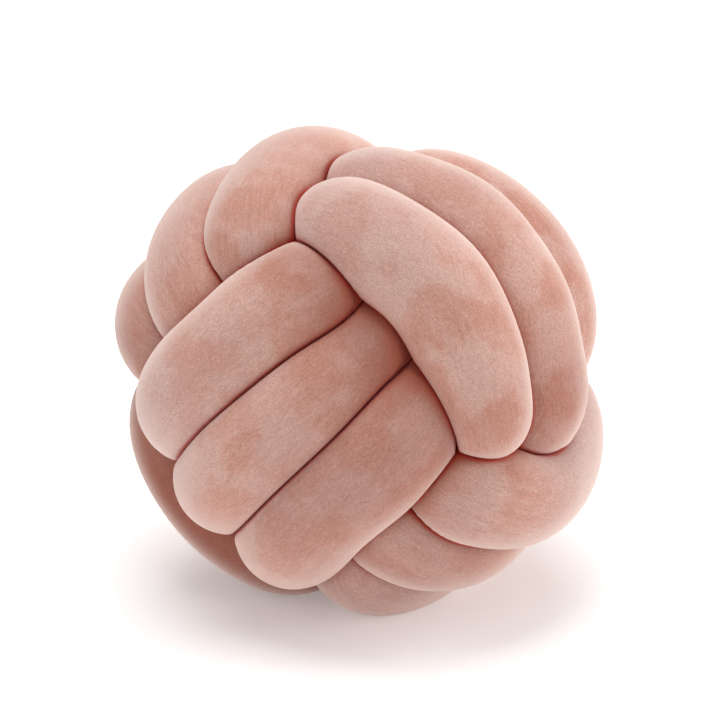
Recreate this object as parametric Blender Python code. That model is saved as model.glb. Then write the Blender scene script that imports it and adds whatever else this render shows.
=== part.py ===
# Round knot cushion: one long stuffed plush tube tied into a ball, three passes over each of six faces.
# Metres, Z up. The ball sits on a small pressed flat at Z = 0, centred on the origin.
import bpy
import numpy as np

for item in list(bpy.data.objects):
    bpy.data.objects.remove(item, do_unlink=True)

# Driving sizes of the cushion
BALL_DIAMETER = 0.270
CREST = 0.031            # from the tube's centre line to the outside of the ball
CORE_GIRTH = 0.034       # free radius of the stuffing where the tube is hidden inside
PRESSED_FLAT = 0.008     # how far the bottom is pressed in where the ball rests
SEAM_GAP = 0.0022        # left between neighbouring passes where they show
CORE_GAP = 0.0050        # left between them inside the ball
END_TAPER = 0.024        # length over which each hidden end rounds off
KNOT_LEAN = 45.0         # degrees the knot is rolled about the front-back axis
KNOT_PITCH = 5.0         # degrees the front face looks down

# How firmly the passes push each other apart while the knot settles
FIRM_SHOWN = 0.024
FIRM_HIDDEN = 0.0165
BEAD = 0.0065
SETTLE_ROUNDS = 200

# Fineness of the solid
RINGS = 352
SIDES = 16
BEND_WEIGHT = 0.030      # extra rings at bends: metres of tube that one radian of bend counts for
CORNER = 7.0             # how squarely the section fills the room it has

MM = 0.001
HALF = BALL_DIAMETER / 2
LINE = HALF - CREST

# Directions of the six faces in the knot's own frame: X to the right face, Y to the front, Z to the top
FACE = {
    "right": np.array([1.0, 0.0, 0.0]),
    "left": np.array([-1.0, 0.0, 0.0]),
    "front": np.array([0.0, 1.0, 0.0]),
    "back": np.array([0.0, -1.0, 0.0]),
    "top": np.array([0.0, 0.0, 1.0]),
    "bottom": np.array([0.0, 0.0, -1.0]),
}

# One pass over a face. Columns: share outwards, share along (both of LINE), how firmly it keeps its place
PASS_PROFILE = (
    (0.600, -0.58, 0.03),
    (0.800, -0.52, 0.25),
    (0.945, -0.33, 0.80),
    (1.000, 0.00, 1.00),
    (0.945, 0.33, 0.80),
    (0.800, 0.52, 0.25),
    (0.600, 0.58, 0.03),
)

# One dive under a face. Columns: share towards the face it comes from, share towards the face above
DIVE_PROFILE = (
    (0.30, 0.50),
    (0.00, 0.50),
    (-0.30, 0.50),
)
DIVE_SQUEEZE = 0.70      # hidden passes lie this much closer together
DIVE_HOLD = 0.004

# The three bands, in tying order. Columns: first face, face it dives under next, second face,
# face it dives under next, direction its side offsets are measured to
BANDS = (
    ("front", "left", "back", "right", "top"),
    ("left", "top", "right", "bottom", "front"),
    ("top", "back", "bottom", "front", "right"),
)

# Passes of each band, lap by lap, first face then second face. Columns, each at entry, crown and exit:
# side offset (mm), rise (share), reach at entry and exit (share), free radius (mm)
PASSES = (
    (
        ((49, 47, 41), (0.62, 1.01, 1.01), (1.05, 0.91), (32, 32, 33)),
        ((45, 48, 45), (1.00, 1.00, 1.00), (1.00, 1.00), (33, 33, 33)),
        ((1, 3, -1), (0.62, 0.99, 0.99), (0.98, 1.00), (30, 32, 31)),
        ((1, -1, 0), (1.01, 1.01, 1.01), (1.00, 1.00), (32, 32, 32)),
        ((-40, -41, -44), (0.70, 1.00, 1.00), (1.10, 1.04), (33, 32, 33)),
        ((-45, -49, -44), (1.00, 1.00, 1.00), (1.00, 1.00), (33, 33, 33)),
    ),
    (
        ((-46, -48, -46), (1.03, 1.03, 1.03), (1.08, 1.00), (33, 33, 33)),
        ((-50, -54, -47), (1.00, 1.05, 1.04), (0.90, 1.00), (31, 31, 31)),
        ((1, 2, 0), (1.04, 1.04, 1.04), (1.10, 1.00), (32, 32, 32)),
        ((-4, -7, 12), (1.01, 1.04, 1.02), (1.05, 1.12), (29, 33, 34)),
        ((47, 50, 47), (1.03, 1.03, 1.03), (1.06, 1.00), (32, 32, 32)),
        ((38, 43, 51), (1.08, 1.13, 1.12), (1.06, 1.12), (28, 31, 24)),
    ),
    (
        ((43, 42, 37), (1.04, 1.04, 1.04), (1.00, 1.00), (32, 32, 32)),
        ((42, 39, 42), (1.13, 1.13, 1.13), (1.00, 1.00), (31, 31, 31)),
        ((-3, -6, -9), (1.06, 1.06, 1.06), (1.00, 1.00), (32, 32, 31)),
        ((-5, -3, -4), (1.03, 1.03, 1.03), (1.00, 1.00), (31, 31, 31)),
        ((-44, -57, -62), (1.10, 1.10, 1.10), (1.00, 1.04), (32, 32, 32)),
        ((-46, -46, -44), (1.04, 1.04, 1.04), (1.00, 1.00), (32, 32, 32)),
    ),
)

# Hidden points (mm: right, front, top) where the tube starts, turns from band to band, and ends
START = ((-8, 5, 18), (14, -6, 24), (40, 0, 34))
TURNS = (
    ((50, -16, -42), (28, -30, -52)),
    ((16, 42, -50), (30, 52, -28)),
    ((-42, 46, -14), (-30, 24, 0), (-14, 10, -6)),
)


def shrink(side):
    """Share by which a pass shrinks when it lies off to the side, so that it stays on the ball."""
    return np.sqrt(1.0 - (side / LINE) ** 2)


def hidden(points):
    """Rows of x, y, z, free radius, firmness, hold for points inside the ball, given in mm."""
    return [np.array([x * MM, y * MM, z * MM, CORE_GIRTH, FIRM_HIDDEN, DIVE_HOLD]) for x, y, z in points]


def over(face, heading, aside, row):
    """Rows of the control points of one pass over a face. Offset, rise and girth change from the crown to
    the edge with the square of the way there."""
    sides, rises, reaches, girths = row
    points = []
    for outward, along, hold in PASS_PROFILE:
        share = along / PASS_PROFILE[-1][1]
        edge = 0 if share < 0 else -1
        side, rise, girth = (each[1] + (each[edge] - each[1]) * share * share for each in (sides, rises, girths))
        side = side * MM
        place = (FACE[face] * outward * rise + FACE[heading] * along * reaches[edge]) * shrink(side) * LINE
        firm = FIRM_SHOWN if hold > 0.05 else (FIRM_SHOWN + FIRM_HIDDEN) / 2
        points.append(np.concatenate([place + FACE[aside] * side, [girth * MM, firm, hold]]))
    return points


def dive(face, coming_from, aside, side_before, side_after, which=(0, 1, 2)):
    """Rows of the control points of one dive under a face."""
    points = []
    for number in which:
        towards, upward = DIVE_PROFILE[number]
        side = (side_before + (side_after - side_before) * number / 2) * MM * DIVE_SQUEEZE
        place = (FACE[coming_from] * towards + FACE[face] * upward) * shrink(side) * LINE
        points.append(np.concatenate([place + FACE[aside] * side, [CORE_GIRTH, FIRM_HIDDEN, DIVE_HOLD]]))
    return points


def tying_path():
    """All control points of the tube in tying order."""
    points = hidden(START)
    for (face_a, under_a, face_b, under_b, aside), rows, turn in zip(BANDS, PASSES, TURNS):
        points += dive(under_b, face_b, aside, rows[0][0][0], rows[0][0][0], which=(2,))
        for lap in range(3):
            first, second = rows[2 * lap], rows[2 * lap + 1]
            points += over(face_a, under_a, aside, first)
            points += dive(under_a, face_a, aside, first[0][2], second[0][0])
            points += over(face_b, under_b, aside, second)
            if lap < 2:
                points += dive(under_b, face_b, aside, second[0][2], rows[2 * lap + 2][0][0])
            else:
                points += dive(under_b, face_b, aside, second[0][2], second[0][2], which=(0,))
        points += hidden(turn)
    return np.array(points)


def spline(rows, places):
    """Uniform cubic B-spline through the rows, read at the given places (in rows)."""
    padded = np.vstack([2 * rows[0] - rows[1], rows, 2 * rows[-1] - rows[-2]])
    first = np.minimum(places.astype(int), len(rows) - 2)
    t = (places - first)[:, None]
    weights = (
        (1 - t) ** 3 / 6,
        (3 * t ** 3 - 6 * t ** 2 + 4) / 6,
        (-3 * t ** 3 + 3 * t ** 2 + 3 * t + 1) / 6,
        t ** 3 / 6,
    )
    return sum(padded[first + k] * weight for k, weight in enumerate(weights))


def bend_of(line):
    """Half the difference between each bead and the middle of its neighbours; zero at the ends."""
    bend = np.zeros_like(line)
    bend[1:-1] = 0.5 * (line[:-2] + line[2:]) - line[1:-1]
    return bend


def settle(path):
    """Even beads along the path, pushed apart where they crowd and smoothed, as the tied tube settles."""
    fine = spline(path, np.linspace(0, len(path) - 1, 12 * (len(path) - 1) + 1))
    run = np.concatenate([[0.0], np.cumsum(np.linalg.norm(np.diff(fine[:, :3], axis=0), axis=1))])
    count = int(run[-1] / BEAD)
    at = np.linspace(0.0, run[-1], count)
    beads = np.stack([np.interp(at, run, fine[:, k]) for k in range(6)], axis=1)
    home, radius, firm, hold = beads[:, :3], beads[:, 3].copy(), beads[:, 4], beads[:, 5:]
    one, two = np.triu_indices(count, 1)
    apart = firm[one] + firm[two]
    separate = (two - one) * BEAD >= 1.35 * apart
    one, two, apart = one[separate], two[separate], apart[separate]
    limit = HALF * 1.03 - firm
    line = home.copy()
    for turn in range(SETTLE_ROUNDS):
        if turn % 8 == 0:
            close = ((line[one] - line[two]) ** 2).sum(axis=1) < (apart + 0.016) ** 2
            a, b, need = one[close], two[close], apart[close]
        gap = line[a] - line[b]
        distance = np.linalg.norm(gap, axis=1) + 1e-9
        lap = np.maximum(need - distance, 0.0)
        shove = gap * (lap / distance)[:, None]
        crowd = np.bincount(a[lap > 0], minlength=count) + np.bincount(b[lap > 0], minlength=count)
        move = np.stack([np.bincount(a, shove[:, k], count) - np.bincount(b, shove[:, k], count)
                         for k in range(3)], axis=1)
        line = line + 0.30 * move / np.maximum(crowd, 1)[:, None] ** 0.7
        bend = bend_of(line)
        line = line + 0.125 * bend - 0.375 * bend_of(bend)
        line = line + 0.5 * hold * (home - line)
        distance = np.linalg.norm(line, axis=1)
        line = line * np.minimum(1.0, limit / distance)[:, None]
    rows = np.column_stack([line, radius])
    for _ in range(6):
        rows = rows + 0.5 * bend_of(rows)
    return rows


def ring_places(rows, rings):
    """Places of the rings along the settled line: even, but closer where the tube bends."""
    fine = np.linspace(0, len(rows) - 1, 4 * len(rows))
    line = spline(rows, fine)[:, :3]
    step = np.diff(line, axis=0)
    length = np.linalg.norm(step, axis=1)
    heading = step / length[:, None]
    turned = np.arccos(np.clip((heading[1:] * heading[:-1]).sum(axis=1), -1, 1))
    cost = length + BEND_WEIGHT * np.concatenate([[0.0], turned])
    total = np.concatenate([[0.0], np.cumsum(cost)])
    return np.interp(np.linspace(0, total[-1], rings), total, fine)


def skin(rows, places, sides):
    """Rings of points round the line. Each ray stops at the free radius or at the wall shared with the
    nearest other pass, whichever comes first, rounded from one to the other."""
    here = spline(rows, places)
    centre, free = here[:, :3], here[:, 3]
    spots = np.arange(len(rows), dtype=float)
    there = spline(rows, spots)
    other, other_free = there[:, :3], there[:, 3]
    ahead = spline(rows, np.minimum(places + 0.05, len(rows) - 1.0))[:, :3]
    behind = spline(rows, np.maximum(places - 0.05, 0.0))[:, :3]
    heading = (ahead - behind) / np.linalg.norm(ahead - behind, axis=1)[:, None]
    inside = np.clip((0.95 * LINE - np.linalg.norm(centre, axis=1)) / (0.25 * LINE), 0.0, 1.0)
    gap = SEAM_GAP + (CORE_GAP - SEAM_GAP) * inside
    up = np.zeros_like(centre)
    carried = np.array([0.0, 0.0, 1.0])
    for k in range(len(centre)):
        carried = carried - (carried @ heading[k]) * heading[k]
        carried = carried / np.linalg.norm(carried)
        up[k] = carried
    across = np.cross(heading, up)
    relative = other[None, :, :] - centre[:, None, :]
    square = (relative ** 2).sum(axis=2)
    same = np.abs(places[:, None] - spots[None, :]) * BEAD < 0.060
    weighed = square + np.where(same, 0.0, free[:, None] ** 2 - other_free[None, :] ** 2)
    apart = square > 0.003 ** 2
    points = np.empty((len(centre), sides, 3))
    for k in range(sides):
        angle = 2 * np.pi * k / sides
        ray = up * np.cos(angle) + across * np.sin(angle)
        forward = np.einsum("ijk,ik->ij", relative, ray)
        wall = np.where((forward > 1e-6) & apart, weighed / np.maximum(2 * forward, 1e-9), 1.0).min(axis=1)
        wall = np.maximum(wall - gap / 2, 0.002)
        radius = (wall ** -CORNER + free ** -CORNER) ** (-1 / CORNER)
        points[:, k] = centre + ray * radius[:, None]
    run = np.concatenate([[0.0], np.cumsum(np.linalg.norm(np.diff(centre, axis=0), axis=1))])
    near_end = np.clip(np.minimum(run, run[-1] - run) / END_TAPER, 0.02, 1.0)
    taper = np.sqrt(1.0 - (1.0 - near_end) ** 2)
    points = centre[:, None, :] + (points - centre[:, None, :]) * taper[:, None, None]
    return points, centre


def stand(points):
    """Turn the knot to the way it lies, press its bottom flat and centre it on the origin."""
    lean, pitch = np.radians([KNOT_LEAN, KNOT_PITCH])
    rolled = np.array([[np.cos(lean), 0, np.sin(lean)], [0, -1, 0], [-np.sin(lean), 0, np.cos(lean)]])
    tipped = np.array([[1, 0, 0], [0, np.cos(pitch), np.sin(pitch)], [0, -np.sin(pitch), np.cos(pitch)]])
    placed = points @ (rolled @ tipped)
    floor = placed[:, 2].min() + PRESSED_FLAT
    placed[:, 2] = np.maximum(placed[:, 2], floor) - floor
    middle = (placed.min(axis=0) + placed.max(axis=0)) / 2
    placed[:, :2] -= middle[:2]
    return placed


def tube_faces(rings, sides):
    """Triangles of the tube's wall and of the two fans that close its ends."""
    ring, side = np.meshgrid(np.arange(rings - 1), np.arange(sides), indexing="ij")
    a = ring * sides + side
    b = ring * sides + (side + 1) % sides
    c, d = b + sides, a + sides
    wall = np.concatenate([np.stack([a, b, c], axis=-1).reshape(-1, 3), np.stack([a, c, d], axis=-1).reshape(-1, 3)])
    loop = np.arange(sides)
    after = (loop + 1) % sides
    start, end, last = rings * sides, rings * sides + 1, (rings - 1) * sides
    start_fan = np.stack([np.full(sides, start), after, loop], axis=-1)
    end_fan = np.stack([np.full(sides, end), last + loop, last + after], axis=-1)
    return np.concatenate([wall, start_fan, end_fan])


def make_solid(name, points, faces, color):
    """One closed smooth solid with its own cloth material."""
    corners = points[faces]
    volume = np.einsum("ij,ij->i", corners[:, 0], np.cross(corners[:, 1], corners[:, 2])).sum() / 6
    if volume < 0:
        faces = faces[:, ::-1]
    mesh = bpy.data.meshes.new(name)
    mesh.from_pydata(points.tolist(), [], faces.tolist())
    mesh.polygons.foreach_set("use_smooth", [True] * len(faces))
    mesh.update()
    cloth = bpy.data.materials.new(name + " plush")
    cloth.use_nodes = True
    shader = cloth.node_tree.nodes["Principled BSDF"]
    shader.inputs["Base Color"].default_value = color
    shader.inputs["Roughness"].default_value = 0.92
    mesh.materials.append(cloth)
    solid = bpy.data.objects.new(name, mesh)
    bpy.context.collection.objects.link(solid)
    return solid


# The stuffed tube, its whole length with both tucked ends
settled = settle(tying_path())
rings, centre_line = skin(settled, ring_places(settled, RINGS), SIDES)
ends = np.stack([centre_line[0], centre_line[-1]])
points = stand(np.concatenate([rings.reshape(-1, 3), ends]))
make_solid("knot_tube", points, tube_faces(RINGS, SIDES), (0.62, 0.33, 0.26, 1.0))
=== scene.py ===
import bpy
import numpy as np
from mathutils import Matrix


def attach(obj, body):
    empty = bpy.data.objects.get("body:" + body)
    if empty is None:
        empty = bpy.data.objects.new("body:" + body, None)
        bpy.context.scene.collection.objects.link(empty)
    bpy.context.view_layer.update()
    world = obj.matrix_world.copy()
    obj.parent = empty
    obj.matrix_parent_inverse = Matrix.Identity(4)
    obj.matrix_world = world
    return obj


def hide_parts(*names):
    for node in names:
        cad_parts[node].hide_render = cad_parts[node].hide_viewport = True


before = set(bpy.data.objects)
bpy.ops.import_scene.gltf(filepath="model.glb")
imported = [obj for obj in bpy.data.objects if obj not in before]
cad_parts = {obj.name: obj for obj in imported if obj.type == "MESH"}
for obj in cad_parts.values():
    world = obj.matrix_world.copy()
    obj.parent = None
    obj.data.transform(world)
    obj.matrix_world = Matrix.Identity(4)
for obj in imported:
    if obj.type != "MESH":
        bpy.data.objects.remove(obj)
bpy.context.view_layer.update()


# The way of the tube through the knot.
# A single stuffed tube about 5.5 cm thick goes round the ball in three bands of three laps, tied by hand.
# Each band passes over two opposite faces and dives under the other bands between them.
BALL_DIAMETER = 0.270
CREST = 0.031            # from the tube's middle line to the outside of the ball
CORE_GIRTH = 0.034       # free radius where the tube is hidden inside
MM = 0.001
HALF = BALL_DIAMETER / 2
LINE = HALF - CREST
FIRM_SHOWN = 0.024       # how firmly neighbouring passes push each other apart, on show and hidden
FIRM_HIDDEN = 0.0165

FACE = {
    "right": np.array([1.0, 0.0, 0.0]),
    "left": np.array([-1.0, 0.0, 0.0]),
    "front": np.array([0.0, 1.0, 0.0]),
    "back": np.array([0.0, -1.0, 0.0]),
    "top": np.array([0.0, 0.0, 1.0]),
    "bottom": np.array([0.0, 0.0, -1.0]),
}

# One pass over a face. Columns: share outwards, share along (both of LINE), how firmly it keeps its place
PASS_PROFILE = (
    (0.600, -0.58, 0.03),
    (0.800, -0.52, 0.25),
    (0.945, -0.33, 0.80),
    (1.000, 0.00, 1.00),
    (0.945, 0.33, 0.80),
    (0.800, 0.52, 0.25),
    (0.600, 0.58, 0.03),
)
LOOSE_HOLD = 0.05        # rows of a pass that hold less are as firm as midway between shown and hidden

# One dive under a face. Columns: share towards the face it comes from, share towards the face above
DIVE_PROFILE = (
    (0.30, 0.50),
    (0.00, 0.50),
    (-0.30, 0.50),
)
DIVE_SQUEEZE = 0.70      # hidden passes lie this much closer together
DIVE_HOLD = 0.004

# The three bands, in tying order. Columns: first face, face it dives under next, second face,
# face it dives under next, direction its side offsets are measured to
BANDS = (
    ("front", "left", "back", "right", "top"),
    ("left", "top", "right", "bottom", "front"),
    ("top", "back", "bottom", "front", "right"),
)

# Passes of each band, lap by lap, first face then second face. Columns, each at entry, crown and exit:
# side offset (mm), rise (share), reach at entry and exit (share), free radius (mm), painted light and shade
# of the pile (1 pale and cool, painted light; -1 deep and warm, painted shade)
PASSES = (
    (
        ((47, 47, 41), (0.66, 1.01, 1.01), (1.10, 0.91), (34, 32, 33), (-0.9, 0.4, 0.9)),
        ((45, 48, 45), (1.00, 1.00, 1.00), (1.00, 1.00), (33, 33, 33), (0.1, 0.3, -0.1)),
        ((1, 3, -1), (0.62, 0.99, 0.99), (0.98, 1.00), (30, 32, 31), (-0.8, 0.0, 0.5)),
        ((1, -1, 0), (1.01, 1.01, 1.01), (1.00, 1.00), (32, 32, 32), (-0.2, 0.0, 0.3)),
        ((-40, -41, -44), (0.70, 1.00, 1.00), (1.10, 1.04), (33, 32, 33), (-0.6, -0.3, 0.2)),
        ((-45, -49, -44), (1.00, 1.00, 1.00), (1.00, 1.00), (33, 33, 33), (0.2, -0.2, 0.1)),
    ),
    (
        ((-46, -48, -46), (1.03, 1.03, 1.03), (1.08, 1.00), (33, 33, 33), (0.0, -0.3, 0.0)),
        ((-50, -54, -47), (1.00, 1.05, 1.04), (0.90, 1.00), (31, 31, 31), (0.1, -0.2, 0.0)),
        ((1, 2, 0), (1.04, 1.04, 1.04), (1.10, 1.00), (32, 32, 32), (-0.2, 0.1, 0.2)),
        ((-4, -7, 12), (1.01, 1.04, 1.02), (1.05, 1.12), (29, 33, 34), (0.6, 0.0, -0.6)),
        ((47, 50, 47), (1.03, 1.03, 1.03), (1.06, 1.00), (32, 32, 32), (-0.9, -1.0, -0.7)),
        ((38, 43, 51), (1.08, 1.13, 1.12), (1.06, 1.12), (28, 31, 24), (0.5, 0.2, -0.4)),
    ),
    (
        ((43, 42, 37), (1.04, 1.04, 1.04), (1.00, 1.00), (32, 32, 32), (0.0, 0.1, 0.0)),
        ((42, 39, 42), (1.13, 1.13, 1.13), (1.00, 1.00), (31, 31, 31), (0.7, 0.7, -0.4)),
        ((-3, -6, -9), (1.06, 1.06, 1.06), (1.00, 1.00), (32, 32, 31), (0.0, 0.0, 0.0)),
        ((-5, -3, -4), (1.03, 1.03, 1.03), (1.00, 1.00), (31, 31, 31), (0.0, -0.3, -0.3)),
        ((-44, -57, -62), (1.10, 1.10, 1.10), (1.00, 1.04), (32, 32, 32), (-0.5, -0.6, 0.1)),
        ((-46, -46, -44), (1.04, 1.04, 1.04), (1.00, 1.00), (32, 32, 32), (0.4, 0.7, 0.2)),
    ),
)

# Hidden points (mm: right, front, top) where the tube starts, turns from band to band, and ends
START = ((-8, 5, 18), (14, -6, 24), (40, 0, 34))
TURNS = (
    ((50, -16, -42), (28, -30, -52)),
    ((16, 42, -50), (30, 52, -28)),
    ((-42, 46, -14), (-30, 24, 0), (-14, 10, -6)),
)


def shrink(side):
    """Square root of one less the square of the side offset over LINE: an outer pass is a smaller circle."""
    return np.sqrt(1.0 - (side / LINE) ** 2)


def hidden(points):
    """Rows of x, y, z, free radius, firmness, hold, painted light and shade for points inside the ball, given
    in mm.
    """
    return [np.array([x * MM, y * MM, z * MM, CORE_GIRTH, FIRM_HIDDEN, DIVE_HOLD, 0.0]) for x, y, z in points]


def over(face, heading, aside, row):
    """Control rows of one pass: outward share times face, plus along share times heading, plus the side
    offset. The other columns go from the crown's to the edge's with the square of the way out."""
    sides, rises, reaches, girths, painted_light_shades = row
    points = []
    for outward, along, hold in PASS_PROFILE:
        share = along / PASS_PROFILE[-1][1]
        edge = 0 if share < 0 else -1
        side, rise, girth, painted_light_shade = (
            each[1] + (each[edge] - each[1]) * share * share for each in (sides, rises, girths, painted_light_shades)
        )
        side = side * MM
        place = (FACE[face] * outward * rise + FACE[heading] * along * reaches[edge]) * shrink(side) * LINE
        firm = FIRM_SHOWN if hold > LOOSE_HOLD else (FIRM_SHOWN + FIRM_HIDDEN) / 2
        points.append(np.concatenate([place + FACE[aside] * side, [girth * MM, firm, hold, painted_light_shade]]))
    return points


def dive(face, coming_from, aside, side_before, side_after, which=(0, 1, 2)):
    """Control rows of one dive: the side offset goes evenly from the pass before to the pass after."""
    points = []
    for number in which:
        towards, upward = DIVE_PROFILE[number]
        side = (side_before + (side_after - side_before) * number / 2) * MM * DIVE_SQUEEZE
        place = (FACE[coming_from] * towards + FACE[face] * upward) * shrink(side) * LINE
        points.append(np.concatenate([place + FACE[aside] * side, [CORE_GIRTH, FIRM_HIDDEN, DIVE_HOLD, 0.0]]))
    return points


def tying_path():
    """All control rows of the tube, one band after another, with a hidden turn between bands."""
    points = hidden(START)
    for (face_a, under_a, face_b, under_b, aside), rows, turn in zip(BANDS, PASSES, TURNS):
        points += dive(under_b, face_b, aside, rows[0][0][0], rows[0][0][0], which=(2,))
        for lap in range(3):
            first, second = rows[2 * lap], rows[2 * lap + 1]
            points += over(face_a, under_a, aside, first)
            points += dive(under_a, face_a, aside, first[0][2], second[0][0])
            points += over(face_b, under_b, aside, second)
            if lap < 2:
                points += dive(under_b, face_b, aside, second[0][2], rows[2 * lap + 2][0][0])
            else:
                points += dive(under_b, face_b, aside, second[0][2], second[0][2], which=(0,))
        points += hidden(turn)
    return np.array(points)


# The tube pulled tight.
# Stuffing makes the tube springy, so crowded passes push each other aside and it bends evenly. The line is
# settled as a chain of beads that push apart where they crowd and straighten where they bend.
BEAD = 0.0065            # spacing along the line
SETTLE_ROUNDS = 200
SEPARATE = 1.35          # beads nearer along the tube than this many touching distances are the same bend
NEARBY = 0.016           # pairs up to this much further apart than touching are followed
REFRESH = 8              # rounds after which those pairs are listed anew
SHOVE = 0.30             # share of an overlap taken back in one round
CROWDING = 0.7           # a bead's shoves are summed and divided by their number to this power
EASE_BEND = 0.125        # how much one round straightens the line, and how much it evens its bends out
EASE_CHANGE = 0.375
PULL_HOME = 0.5          # share of the way back to its own place, times its hold
OUTER_LIMIT = 1.03       # of HALF: no bead's firm core comes out further
FINE_STEPS = 12          # straight steps to one row of the path, when its length is measured
EVENING_ROUNDS = 6       # rounds that even the line, its radius and its painted light and shade out at the end


def spline(rows, places):
    """Uniform cubic B-spline: each place mixes four rows with the basis cubics of its fraction."""
    padded = np.vstack([2 * rows[0] - rows[1], rows, 2 * rows[-1] - rows[-2]])
    first = np.minimum(places.astype(int), len(rows) - 2)
    t = (places - first)[:, None]
    weights = (
        (1 - t) ** 3 / 6,
        (3 * t ** 3 - 6 * t ** 2 + 4) / 6,
        (-3 * t ** 3 + 3 * t ** 2 + 3 * t + 1) / 6,
        t ** 3 / 6,
    )
    return sum(padded[first + k] * weight for k, weight in enumerate(weights))


def bend_of(line):
    """The middle of each bead's two neighbours less the bead itself; zero at the ends."""
    bend = np.zeros_like(line)
    bend[1:-1] = 0.5 * (line[:-2] + line[2:]) - line[1:-1]
    return bend


def settle(path):
    """Even beads along the path. In each round, beads closer than the sum of their firmnesses move apart by a
    share of the overlap, bends ease, and each bead goes back towards its own place by its hold."""
    fine = spline(path, np.linspace(0, len(path) - 1, FINE_STEPS * (len(path) - 1) + 1))
    run = np.concatenate([[0.0], np.cumsum(np.linalg.norm(np.diff(fine[:, :3], axis=0), axis=1))])
    count = int(run[-1] / BEAD)
    at = np.linspace(0.0, run[-1], count)
    beads = np.stack([np.interp(at, run, fine[:, k]) for k in range(7)], axis=1)
    home, radius, firm, hold, painted_light_shade = beads[:, :3], beads[:, 3], beads[:, 4], beads[:, 5:6], beads[:, 6]
    one, two = np.triu_indices(count, 1)
    apart = firm[one] + firm[two]
    separate = (two - one) * BEAD >= SEPARATE * apart
    one, two, apart = one[separate], two[separate], apart[separate]
    limit = HALF * OUTER_LIMIT - firm
    line = home.copy()
    for turn in range(SETTLE_ROUNDS):
        if turn % REFRESH == 0:
            close = ((line[one] - line[two]) ** 2).sum(axis=1) < (apart + NEARBY) ** 2
            a, b, need = one[close], two[close], apart[close]
        gap = line[a] - line[b]
        distance = np.linalg.norm(gap, axis=1) + 1e-9
        lap = np.maximum(need - distance, 0.0)
        shove = gap * (lap / distance)[:, None]
        crowd = np.bincount(a[lap > 0], minlength=count) + np.bincount(b[lap > 0], minlength=count)
        move = np.stack([np.bincount(a, shove[:, k], count) - np.bincount(b, shove[:, k], count)
                         for k in range(3)], axis=1)
        line = line + SHOVE * move / np.maximum(crowd, 1)[:, None] ** CROWDING
        bend = bend_of(line)
        line = line + EASE_BEND * bend - EASE_CHANGE * bend_of(bend)
        line = line + PULL_HOME * hold * (home - line)
        distance = np.linalg.norm(line, axis=1)
        line = line * np.minimum(1.0, limit / distance)[:, None]
    rows = np.column_stack([line, radius, painted_light_shade])
    for _ in range(EVENING_ROUNDS):
        rows = rows + 0.5 * bend_of(rows)
    return rows


# The plush tube, knotted.
# One sewn tube of short-pile plush, filled with soft fibre. It bulges freely on the outside and is pressed
# flat against its neighbours in the creases. Both ends are rounded off and tucked inside the ball.
RINGS = 960
SIDES = 96
SEAM_GAP = 0.0003        # left between neighbouring passes where they show
CORE_GAP = 0.0020        # left between them deep inside the ball
CORNER = 22.0            # how squarely the section fills the room it has
CORE_FROM = 0.70         # share of LINE where the core begins, and share over which its gap widens
CORE_OVER = 0.20
SAME_BEND = 0.060        # parts nearer along the tube share evenly; further apart, the fuller pass gets more
OWN_PLACE = 0.003        # a spot of the line nearer than this is the ring's own place, and no wall
THINNEST = 0.002         # least distance from the line to a wall
HEADING_STEP = 0.05      # of a bead, each way, to find where the line is heading
END_TAPER = 0.024        # length over which each hidden end rounds off
END_LEAST = 0.02         # least share of that length, so that the last ring is small but no point
TURN_WORTH = 0.030       # a radian of bend gets as many rings as this length
DEEP_FROM = 0.85         # share of LINE where rings begin to thin out, the share over which they do,
DEEP_OVER = 0.20         # and how much fewer there are
DEEP_LESS = 0.55
KNOT_LEAN = 45.0         # degrees the knot is rolled about the front-back axis
KNOT_PITCH = 5.0         # degrees the front face looks down
PRESSED_FLAT = 0.008     # how far the bottom is pressed in where the ball rests
LUMPS = 0.0006           # unevenness of the filling, and the number and lengths of its waves
LUMP_WAVES = 12
LUMP_LENGTHS = (0.035, 0.110)
STRAIGHT_RADIUS = 0.03   # of the tube laid out straight, for the pattern of its pile
SHADE_GIRTH = 0.028      # how wide and how strong a pass counts as shading its neighbours' pile
SHADE_STRENGTH = 0.40
COVER_RISE = 0.024       # a pass counts from least to most as it goes from this half below to this half above
COVER_LEAST = 0.3
COVER_MOST = 4.2


def ring_places(rows, rings):
    """Places of the rings: evenly by length and by bend, further apart deep inside."""
    fine = np.linspace(0, len(rows) - 1, 4 * len(rows))
    line = spline(rows, fine)[:, :3]
    step = np.diff(line, axis=0)
    length = np.linalg.norm(step, axis=1)
    heading = step / length[:, None]
    turned = np.concatenate([[0.0], np.arccos(np.clip((heading[1:] * heading[:-1]).sum(axis=1), -1, 1))])
    deep = np.clip((DEEP_FROM * LINE - np.linalg.norm(line[1:], axis=1)) / (DEEP_OVER * LINE), 0.0, 1.0)
    cost = (length + TURN_WORTH * turned) * (1.0 - DEEP_LESS * deep)
    total = np.concatenate([[0.0], np.cumsum(cost)])
    return np.interp(np.linspace(0, total[-1], rings), total, fine)


def lumps(run, angle):
    """Sum of sine waves of the way along and the angle around, with seeded lengths and phases."""
    pick = np.random.default_rng(27)
    total = np.zeros((len(run), len(angle)))
    for _ in range(LUMP_WAVES):
        wave = pick.uniform(*LUMP_LENGTHS)
        turns = pick.integers(0, 4)
        phase = pick.uniform(0, 2 * np.pi, 2)
        along = np.sin(2 * np.pi * run / wave + phase[0])
        around = np.cos(turns * angle + phase[1])
        total += along[:, None] * around[None, :]
    return total / np.sqrt(LUMP_WAVES)


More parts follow.
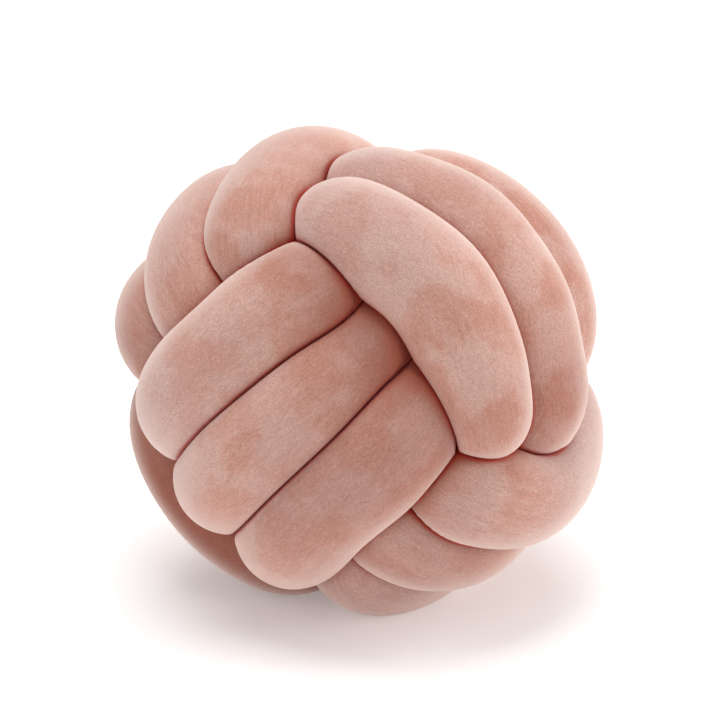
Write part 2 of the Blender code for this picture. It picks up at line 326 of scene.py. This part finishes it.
def skin(rows, places, sides):
    """Rings round the line. Each ray stops at the free radius or at the wall halfway to the nearest other
    pass; the two are joined as the minus CORNERth power mean. Also gives the middle line, radius over wall
    (1 where pressed), places on the tube laid out straight, and the painted light and shade of the pile."""
    here = spline(rows, places)
    centre, free = here[:, :3], here[:, 3]
    spots = np.linspace(0, len(rows) - 1, 2 * len(rows) - 1)
    there = spline(rows, spots)
    other, other_free = there[:, :3], there[:, 3]
    ahead = spline(rows, np.minimum(places + HEADING_STEP, len(rows) - 1.0))[:, :3]
    behind = spline(rows, np.maximum(places - HEADING_STEP, 0.0))[:, :3]
    heading = (ahead - behind) / np.linalg.norm(ahead - behind, axis=1)[:, None]
    inside = np.clip((CORE_FROM * LINE - np.linalg.norm(centre, axis=1)) / (CORE_OVER * LINE), 0.0, 1.0)
    gap = SEAM_GAP + (CORE_GAP - SEAM_GAP) * inside
    up = np.zeros_like(centre)
    carried = np.array([0.0, 0.0, 1.0])
    for k in range(len(centre)):
        carried = carried - (carried @ heading[k]) * heading[k]
        carried = carried / np.linalg.norm(carried)
        up[k] = carried
    across = np.cross(heading, up)
    run = np.concatenate([[0.0], np.cumsum(np.linalg.norm(np.diff(centre, axis=0), axis=1))])
    angles = 2 * np.pi * np.arange(sides) / sides
    bulge = free[:, None] + LUMPS * lumps(run, angles)
    relative = other[None, :, :] - centre[:, None, :]
    square = (relative ** 2).sum(axis=2)
    same = np.abs(places[:, None] - spots[None, :]) * BEAD < SAME_BEND
    weighed = square + np.where(same, 0.0, free[:, None] ** 2 - other_free[None, :] ** 2)
    apart = square > OWN_PLACE ** 2
    weighed = np.where(apart, weighed, 1.0)
    points = np.empty((len(centre), sides, 3))
    pressed = np.empty((len(centre), sides))
    for k, angle in enumerate(angles):
        ray = up * np.cos(angle) + across * np.sin(angle)
        forward = np.einsum("ijk,ik->ij", relative, ray)
        wall = np.where(forward > 1e-6, weighed / np.maximum(2 * forward, 1e-9), 1.0).min(axis=1)
        wall = np.maximum(wall - gap / 2, THINNEST)
        radius = (wall ** -CORNER + bulge[:, k] ** -CORNER) ** (-1 / CORNER)
        points[:, k] = centre + ray * radius[:, None]
        pressed[:, k] = radius / wall
    near_end = np.clip(np.minimum(run, run[-1] - run) / END_TAPER, END_LEAST, 1.0)
    taper = np.sqrt(1.0 - (1.0 - near_end) ** 2)
    points = centre[:, None, :] + (points - centre[:, None, :]) * taper[:, None, None]
    straight = np.stack([
        np.broadcast_to(STRAIGHT_RADIUS * np.cos(angles), pressed.shape),
        np.broadcast_to(STRAIGHT_RADIUS * np.sin(angles), pressed.shape),
        np.broadcast_to(run[:, None], pressed.shape),
    ], axis=-1)
    return points, centre, pressed, straight, np.broadcast_to(here[:, 4:], pressed.shape)


def outward(points, centre):
    """Unit normals of the tube: the cross product of the steps along and around it, turned outwards."""
    along = np.gradient(points, axis=0)
    around = np.roll(points, -1, axis=1) - np.roll(points, 1, axis=1)
    normal = np.cross(around, along)
    normal = normal / np.maximum(np.linalg.norm(normal, axis=2), 1e-12)[:, :, None]
    side = np.sign((normal * (points - centre[:, None, :])).sum())
    return normal * side


def overhung(points, normals, beads):
    """How much of the view outwards other passes take: the sum over every second bead of its facing share
    times the square of its girth over its distance, eased so that it levels off at 1. A bead that lies
    further out from the ball's middle than the point counts more, as it covers the point."""
    spheres = beads[::2, :3]
    reach = np.linalg.norm(spheres, axis=1)
    taken = np.empty(points.shape[:2])
    for k in range(points.shape[1]):
        way = spheres[None, :, :] - points[:, k, None, :]
        square = (way ** 2).sum(axis=2)
        facing = np.einsum("ijk,ik->ij", way, normals[:, k]) / np.sqrt(square)
        higher = reach[None, :] - np.linalg.norm(points[:, k], axis=1)[:, None]
        covers = COVER_LEAST + (COVER_MOST - COVER_LEAST) * np.clip(0.5 + higher / COVER_RISE, 0.0, 1.0)
        taken[:, k] = (covers * np.maximum(facing, 0.0) * SHADE_GIRTH ** 2 / square).sum(axis=1)
    return 1.0 - np.exp(-SHADE_STRENGTH * taken)


def stand(points):
    """Turn the knot to the way it lies, press its bottom flat and centre it. Also gives where the knot's own
    centre goes."""
    lean, pitch = np.radians([KNOT_LEAN, KNOT_PITCH])
    rolled = np.array([[np.cos(lean), 0, np.sin(lean)], [0, -1, 0], [-np.sin(lean), 0, np.cos(lean)]])
    tipped = np.array([[1, 0, 0], [0, np.cos(pitch), np.sin(pitch)], [0, -np.sin(pitch), np.cos(pitch)]])
    placed = points @ (rolled @ tipped)
    floor = placed[:, 2].min() + PRESSED_FLAT
    placed[:, 2] = np.maximum(placed[:, 2], floor) - floor
    middle = (placed.min(axis=0) + placed.max(axis=0)) / 2
    placed[:, :2] -= middle[:2]
    return placed, np.array([-middle[0], -middle[1], -floor])


def tube_faces(rings, sides):
    """Four-cornered faces between neighbouring rings, and a fan of triangles over each end."""
    ring, side = np.meshgrid(np.arange(rings - 1), np.arange(sides), indexing="ij")
    a = ring * sides + side
    b = ring * sides + (side + 1) % sides
    wall = np.stack([a, b, b + sides, a + sides], axis=-1).reshape(-1, 4)
    loop = np.arange(sides)
    after = (loop + 1) % sides
    start, end, last = rings * sides, rings * sides + 1, (rings - 1) * sides
    start_fan = np.stack([np.full(sides, start), after, loop], axis=-1)
    end_fan = np.stack([np.full(sides, end), last + loop, last + after], axis=-1)
    return wall.tolist() + start_fan.tolist() + end_fan.tolist()


settled = settle(tying_path())
ring_points, centre_line, pressed, straight, painted_light_shade = skin(settled, ring_places(settled, RINGS), SIDES)
shaded = overhung(ring_points, outward(ring_points, centre_line), settled)
tube_points, knot_centre = stand(np.concatenate([ring_points.reshape(-1, 3), centre_line[[0, -1]]]))

plush_mesh = bpy.data.meshes.new("plush_tube")
plush_mesh.from_pydata(tube_points.tolist(), [], tube_faces(RINGS, SIDES))
plush_mesh.polygons.foreach_set("use_smooth", np.ones(len(plush_mesh.polygons), dtype=bool))
for name, worth in (("pressed", pressed), ("overhung", shaded), ("painted_light_shade", painted_light_shade)):
    layer = plush_mesh.attributes.new(name, "FLOAT", "POINT")
    layer.data.foreach_set("value", np.append(worth.ravel(), [1.0, 1.0]).astype(np.float32))
laid_out = plush_mesh.attributes.new("laid_straight", "FLOAT_VECTOR", "POINT")
end_places = np.array([[0.0, 0.0, 0.0], [0.0, 0.0, straight[-1, 0, 2]]])
places_laid_out = np.concatenate([straight.reshape(-1, 3), end_places])
laid_out.data.foreach_set("vector", places_laid_out.astype(np.float32).ravel())
plush_mesh.update()
plush_tube = bpy.data.objects.new("plush_tube", plush_mesh)
bpy.context.collection.objects.link(plush_tube)

# Dusty pink short-pile plush: matt, with a pale sheen at grazing angles, partly the shader's own and partly a
# painted highlight in the colour.
# The pile is brushed in soft patches. Each pass has painted light and shade, pale and cool where it catches
# light, deep and warm where it lies in shade, and painted deep red-brown shade in creases and where another
# pass covers it.
WARM_PILE = (0.57, 0.28, 0.212, 1.0)
PALE_PILE = (0.64, 0.385, 0.322, 1.0)
MAUVE_PILE = (0.50, 0.285, 0.245, 1.0)
PAINTED_LIGHT_PILE = (0.60, 0.42, 0.385, 1.0)
DEEP_STROKE_AND_SHADE_PILE = (0.28, 0.08, 0.050, 1.0)
SHEEN_PILE = (0.89, 0.72, 0.655, 1.0)
SHADED_PILE = (0.44, 0.12, 0.070, 1.0)
CREASE_SHADE_PILE = (0.62, 0.06, 0.035, 1.0)
DEEP_SHADOW_PILE = (0.20, 0.03, 0.020, 1.0)

plush = bpy.data.materials.new("dusty pink plush")
plush.use_nodes = True
plush_nodes = plush.node_tree.nodes
plush_links = plush.node_tree.links
pile = plush_nodes["Principled BSDF"]
pile.inputs["Roughness"].default_value = 0.88
pile.inputs["Specular IOR Level"].default_value = 0.20
pile.inputs["Sheen Weight"].default_value = 0.25
pile.inputs["Sheen Roughness"].default_value = 0.35
pile.inputs["Sheen Tint"].default_value = (1.0, 0.74, 0.66, 1.0)


def pattern(place, scale, detail, stretch=(1.0, 1.0, 1.0), waviness=0.0):
    """Soft noise of the given scale (waves per metre) on the given coordinates, stretched first."""
    mapping = plush_nodes.new("ShaderNodeMapping")
    mapping.inputs["Scale"].default_value = stretch
    noise = plush_nodes.new("ShaderNodeTexNoise")
    noise.inputs["Scale"].default_value = scale
    noise.inputs["Detail"].default_value = detail
    noise.inputs["Distortion"].default_value = waviness
    plush_links.new(place, mapping.inputs["Vector"])
    plush_links.new(mapping.outputs["Vector"], noise.inputs["Vector"])
    return noise.outputs["Fac"]


def between(value, low, high, out_low=0.0, out_high=1.0):
    """Smooth step of a value from low to high, onto the range from out_low to out_high."""
    step = plush_nodes.new("ShaderNodeMapRange")
    step.interpolation_type = "SMOOTHSTEP"
    for name, number in (("From Min", low), ("From Max", high), ("To Min", out_low), ("To Max", out_high)):
        step.inputs[name].default_value = number
    plush_links.new(value, step.inputs["Value"])
    return step.outputs["Result"]


def dye(under, over_colour, amount, kind="MIX"):
    """One colour laid over another by an amount; each is a fixed colour or a node's output."""
    mix = plush_nodes.new("ShaderNodeMix")
    mix.data_type = "RGBA"
    mix.blend_type = kind
    for socket, source in ((mix.inputs[6], under), (mix.inputs[7], over_colour), (mix.inputs[0], amount)):
        if isinstance(source, (tuple, float)):
            socket.default_value = source
        else:
            plush_links.new(source, socket)
    return mix.outputs[2]


def stored(name, output="Fac"):
    """A value or vector that the mesh stores under a name."""
    attribute = plush_nodes.new("ShaderNodeAttribute")
    attribute.attribute_name = name
    return attribute.outputs[output]


place_on_ball = plush_nodes.new("ShaderNodeTexCoord").outputs["Object"]
along_tube = stored("laid_straight", "Vector")
crease = stored("pressed")
shelter = stored("overhung")
pass_light_and_shade = stored("painted_light_shade")

patches = pattern(place_on_ball, 34.0, 3.0)
drift = pattern(place_on_ball, 9.0, 2.0)
brushing = pattern(along_tube, 60.0, 3.0, (1.0, 1.0, 0.35))
grain = pattern(place_on_ball, 1400.0, 1.0, waviness=1.0)
strokes = pattern(along_tube, 560.0, 1.0, (1.0, 1.0, 0.45), 1.2)

pile_colour = dye(WARM_PILE, PALE_PILE, between(patches, 0.41, 0.60))
pile_colour = dye(pile_colour, MAUVE_PILE, between(drift, 0.42, 0.68, 0.0, 0.55))
pile_colour = dye(pile_colour, PALE_PILE, between(brushing, 0.52, 0.66, 0.0, 0.45))
# Painted light per pass: pale and cool where a pass catches the light.
pile_colour = dye(pile_colour, PAINTED_LIGHT_PILE, between(pass_light_and_shade, 0.0, 1.0))
pile_colour = dye(pile_colour, SHEEN_PILE, between(strokes, 0.48, 0.75, 0.0, 0.10))
pile_colour = dye(pile_colour, DEEP_STROKE_AND_SHADE_PILE, between(strokes, 0.48, 0.25, 0.0, 0.14))
# Painted shade per pass: deep and warm where a pass lies in shade, as on the underside and under covering
# passes.
pile_colour = dye(pile_colour, DEEP_STROKE_AND_SHADE_PILE, between(pass_light_and_shade, 0.0, -1.0, 0.0, 0.85))
speckle = plush_nodes.new("ShaderNodeCombineColor")
for channel in speckle.inputs:  # one speckle in all three, so it changes the shade only
    plush_links.new(between(grain, 0.25, 0.75, 0.82, 1.16), channel)
pile_colour = dye(pile_colour, speckle.outputs["Color"], 1.0, "MULTIPLY")
# Painted sheen: the colour turns pale pink where the surface is seen edge-on, a painted highlight on top of
# the shader's own sheen.
edge_on = plush_nodes.new("ShaderNodeLayerWeight")
edge_on.inputs["Blend"].default_value = 0.40
pile_colour = dye(pile_colour, SHEEN_PILE, between(edge_on.outputs["Facing"], 0.25, 0.95, 0.0, 0.70))
# Painted shade: red-brown where other passes cover or crowd the pile, near black-red in the deepest pockets.
pile_colour = dye(pile_colour, SHADED_PILE, between(shelter, 0.0, 0.85, 0.0, 0.90))
pile_colour = dye(pile_colour, DEEP_SHADOW_PILE, between(shelter, 0.75, 0.98, 0.0, 0.80))
# Painted shade: deep red in the creases where passes press together.
pile_colour = dye(pile_colour, CREASE_SHADE_PILE, between(crease, 0.94, 0.985, 0.0, 0.68))
plush_links.new(pile_colour, pile.inputs["Base Color"])

nap = plush_nodes.new("ShaderNodeBump")
nap.inputs["Strength"].default_value = 0.35
nap.inputs["Distance"].default_value = 0.0008
fibres = plush_nodes.new("ShaderNodeMath")
fibres.operation = "ADD"
plush_links.new(grain, fibres.inputs[0])
plush_links.new(strokes, fibres.inputs[1])
plush_links.new(fibres.outputs["Value"], nap.inputs["Height"])
plush_links.new(nap.outputs["Normal"], pile.inputs["Normal"])

plush_mesh.materials.append(plush)
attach(plush_tube, "root")
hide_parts("knot_tube")


# The studio floor: a wide sheet of matt white paper that glows a little, so it prints white. It is not
# part of the cushion.
FLOOR_REACH = 8.0
floor_mesh = bpy.data.meshes.new("studio_floor")
corners = np.array([[-1, -1], [1, -1], [1, 1], [-1, 1]]) * FLOOR_REACH
floor_mesh.from_pydata(np.column_stack([corners, np.zeros(4)]).tolist(), [], [(0, 1, 2, 3)])
studio_floor = bpy.data.objects.new("studio_floor", floor_mesh)
bpy.context.collection.objects.link(studio_floor)
paper = bpy.data.materials.new("white paper")
paper.use_nodes = True
paper_face = paper.node_tree.nodes["Principled BSDF"]
paper_face.inputs["Base Color"].default_value = (0.93, 0.93, 0.93, 1.0)
paper_face.inputs["Roughness"].default_value = 0.95
paper_face.inputs["Emission Color"].default_value = (1.0, 1.0, 1.0, 1.0)
paper_face.inputs["Emission Strength"].default_value = 0.22
floor_mesh.materials.append(paper)


# Soft studio light: a white room, one large soft box above, one at the right, and a weak cool one at the
# left of the camera.
room = bpy.data.worlds.new("white room")
room.use_nodes = True
room.node_tree.nodes["Background"].inputs["Color"].default_value = (1.0, 1.0, 1.0, 1.0)
room.node_tree.nodes["Background"].inputs["Strength"].default_value = 0.38
bpy.context.scene.world = room

VIEW_AZIMUTH = np.radians(28.5)
VIEW_ELEVATION = np.radians(20.0)
to_camera = np.array([
    np.sin(VIEW_AZIMUTH) * np.cos(VIEW_ELEVATION),
    -np.cos(VIEW_AZIMUTH) * np.cos(VIEW_ELEVATION),
    np.sin(VIEW_ELEVATION),
])
to_right = np.array([np.cos(VIEW_AZIMUTH), np.sin(VIEW_AZIMUTH), 0.0])
upward = np.cross(to_camera, to_right)


def aimed(thing, place, target):
    """Put a light or camera at a place, looking at the target along its own minus Z, its Y up."""
    back = (place - target) / np.linalg.norm(place - target)
    right = np.cross([0.0, 0.0, 1.0], back)
    right = right / np.linalg.norm(right)
    matrix = np.eye(4)
    matrix[:3, 0], matrix[:3, 1], matrix[:3, 2], matrix[:3, 3] = right, np.cross(back, right), back, place
    thing.matrix_world = Matrix(matrix.tolist())


def soft_box(name, direction, distance, size, watts, colour):
    """A square area light at a distance from the knot's centre. The direction is right, up and to camera."""
    lamp = bpy.data.lights.new(name, "AREA")
    lamp.size = size
    lamp.energy = watts
    lamp.color = colour
    thing = bpy.data.objects.new(name, lamp)
    bpy.context.collection.objects.link(thing)
    way = direction[0] * to_right + direction[1] * upward + direction[2] * to_camera
    aimed(thing, knot_centre + distance * way / np.linalg.norm(way), knot_centre)


soft_box("top soft box", (-0.10, 1.20, 0.35), 3.0, 2.4, 76.0, (1.0, 1.0, 1.0))
soft_box("right soft box", (1.20, 0.40, 0.10), 3.0, 2.0, 42.0, (1.0, 1.0, 1.0))
soft_box("front soft box", (-0.70, 0.25, 1.00), 3.0, 2.2, 12.0, (0.88, 0.95, 1.0))


# The camera: a long lens at the photo's angle, with the ball a little under the middle of the frame.
CAMERA_DISTANCE = 1.6
BALL_PIXELS = 490
FRAME_PIXELS = 720
SENSOR = 36.0
LOWERED_PIXELS = 10
lens_pixels = (BALL_PIXELS / 2) / (HALF / np.sqrt(CAMERA_DISTANCE ** 2 - HALF ** 2))
camera_data = bpy.data.cameras.new("camera")
camera_data.sensor_width = SENSOR
camera_data.lens = lens_pixels * SENSOR / FRAME_PIXELS
camera_data.shift_y = LOWERED_PIXELS / FRAME_PIXELS
camera = bpy.data.objects.new("camera", camera_data)
bpy.context.collection.objects.link(camera)
aimed(camera, knot_centre + CAMERA_DISTANCE * to_camera, knot_centre)
bpy.context.scene.camera = camera
bpy.context.scene.view_settings.view_transform = "Standard"
